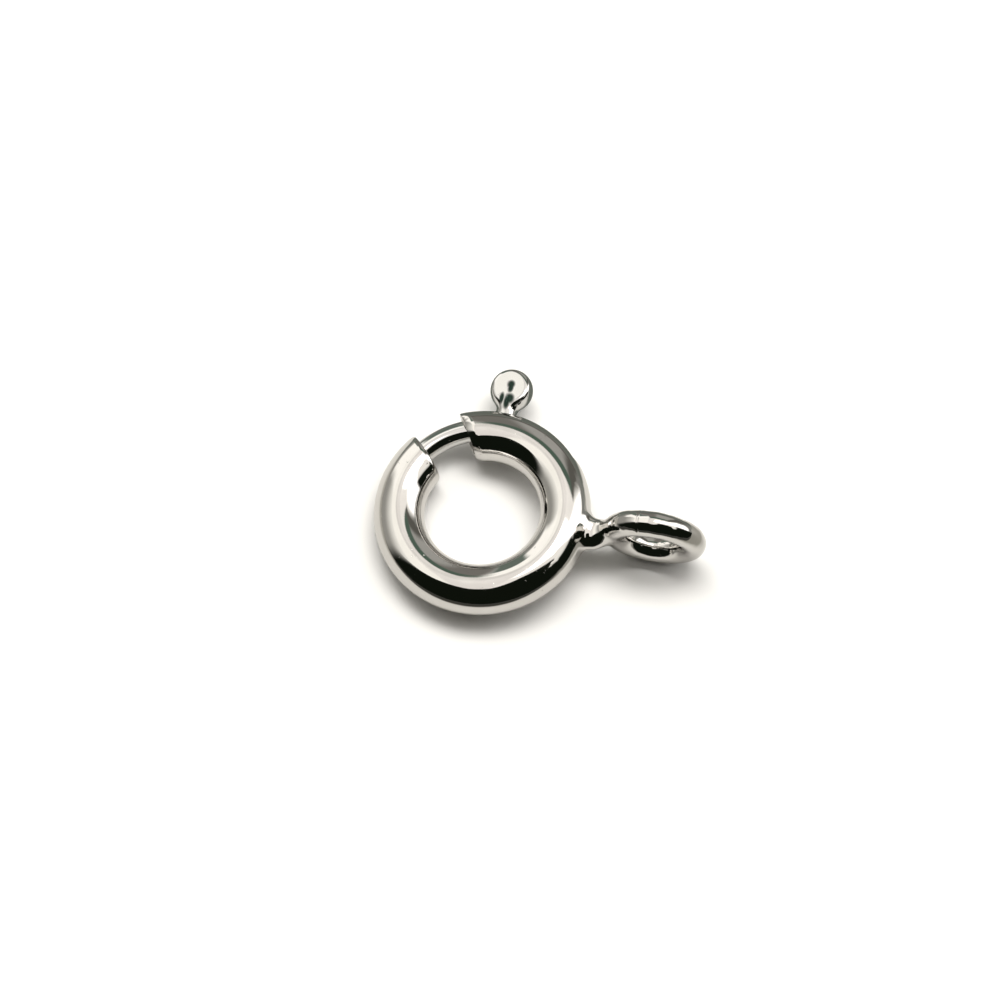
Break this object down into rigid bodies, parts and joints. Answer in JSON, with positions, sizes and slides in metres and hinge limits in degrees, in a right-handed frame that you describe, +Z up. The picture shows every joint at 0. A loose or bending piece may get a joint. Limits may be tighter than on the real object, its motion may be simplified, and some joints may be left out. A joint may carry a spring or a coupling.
{
  "type": "spring ring clasp",
  "caption": "Closed spring ring clasp for a fine chain: hollow tube ring, sprung curved tongue with a round thumb knob, and a soldered wire eye.",
  "frame": {"origin": "middle of the clasp's box on the surface that it rests on", "axes": "+Z up from that surface; +X from the ring toward the eye; +Y toward the side that the thumb knob is on"},
  "size_m": [0.0092, 0.0074, 0.0029],
  "materials": {
    "silver": "rhodium-flashed sterling silver, barrel polished",
    "silver_tongue": "polished silver wire, with fine rub marks along it",
    "spring_steel": "drawn spring wire"
  },
  "bodies": {
    "ring": {"ring_body": "silver", "spring": "spring_steel"},
    "tongue": {"tongue": "silver_tongue"}
  },
  "joints": [
    {"name": "tongue_slide", "type": "hinge", "parent": "ring", "child": "tongue", "pos_m": [-0.00162, -0.00066, 0.00094], "axis": [0.105, 0, -0.9945], "range_deg": [0, 46], "stiffness_Nm_per_rad": 0.001, "deforming": ["spring"]}
  ]
}
